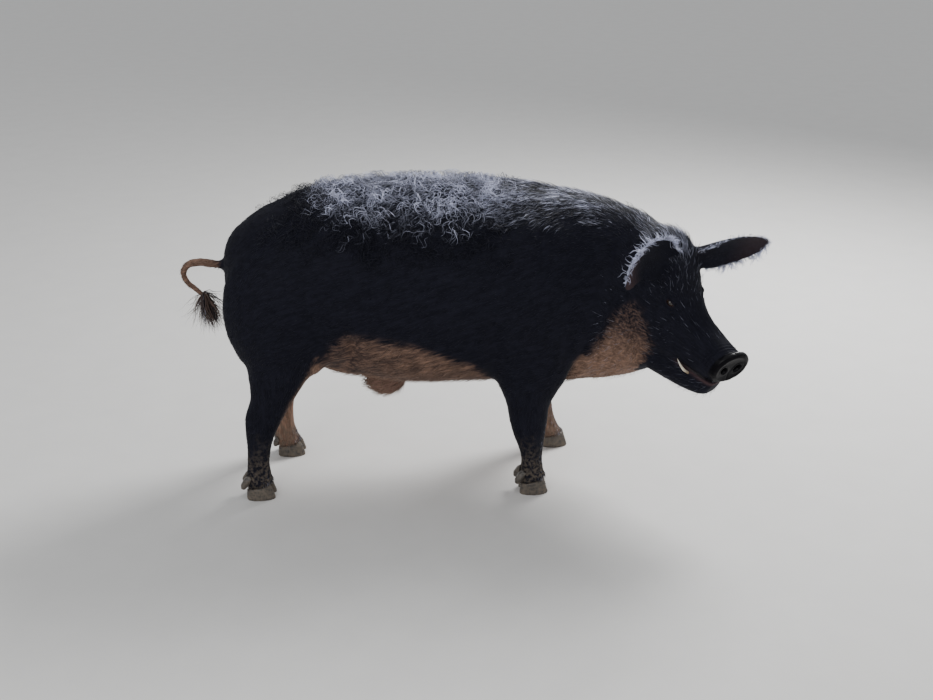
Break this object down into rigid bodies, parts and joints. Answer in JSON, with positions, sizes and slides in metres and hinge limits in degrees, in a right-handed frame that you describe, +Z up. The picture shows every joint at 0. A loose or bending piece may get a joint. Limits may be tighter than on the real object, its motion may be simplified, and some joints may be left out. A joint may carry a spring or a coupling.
{
  "type": "pig",
  "caption": "Standing swallow-bellied Mangalitsa boar, life size, head low and turned to its right, dark coat with silver curls on the back and a sandy belly.",
  "frame": {"origin": "on the floor, under the middle of the bounding box", "axes": "+X from tail to head along the trunk, +Y to the animal's left, +Z up"},
  "size_m": [1.5196, 0.562, 0.8445],
  "materials": {
    "dark_coat": "short flat charcoal hair, silver and curly along the back",
    "tan_coat": "short sandy hair over pale skin",
    "bare_skin": "thin haired grey skin",
    "wet_snout": "smooth moist black skin",
    "eye_gloss": "wet gloss",
    "hoof_horn": "satin worn horn",
    "tusk_ivory": "polished ivory",
    "tail_hair": "long coarse dark hair"
  },
  "bodies": {
    "root": {"belly": "tan_coat", "chest": "dark_coat", "ear_left": "dark_coat", "ear_right": "dark_coat", "eye_left": "eye_gloss", "eye_right": "eye_gloss", "fore_left_cannon": "dark_coat", "fore_left_dewclaw_left": "hoof_horn", "fore_left_dewclaw_right": "hoof_horn", "fore_left_forearm": "dark_coat", "fore_left_hoof_left": "hoof_horn", "fore_left_hoof_right": "hoof_horn", "fore_left_pastern": "tan_coat", "fore_right_cannon": "dark_coat", "fore_right_dewclaw_left": "hoof_horn", "fore_right_dewclaw_right": "hoof_horn", "fore_right_forearm": "dark_coat", "fore_right_hoof_left": "hoof_horn", "fore_right_hoof_right": "hoof_horn", "fore_right_pastern": "tan_coat", "head": "dark_coat", "hind_left_dewclaw_left": "hoof_horn", "hind_left_dewclaw_right": "hoof_horn", "hind_left_hoof_left": "hoof_horn", "hind_left_hoof_right": "hoof_horn", "hind_left_pastern": "tan_coat", "hind_left_shank": "dark_coat", "hind_left_thigh": "dark_coat", "hind_right_dewclaw_left": "hoof_horn", "hind_right_dewclaw_right": "hoof_horn", "hind_right_hoof_left": "hoof_horn", "hind_right_hoof_right": "hoof_horn", "hind_right_pastern": "tan_coat", "hind_right_shank": "dark_coat", "hind_right_thigh": "dark_coat", "lower_jaw": "dark_coat", "muzzle": "dark_coat", "neck": "dark_coat", "rump": "dark_coat", "scrotum": "bare_skin", "sheath": "bare_skin", "snout_disc": "wet_snout", "tail_base": "dark_coat", "tail_tassel": "tail_hair", "tusk_left": "tusk_ivory", "tusk_right": "tusk_ivory"}
  },
  "joints": []
}
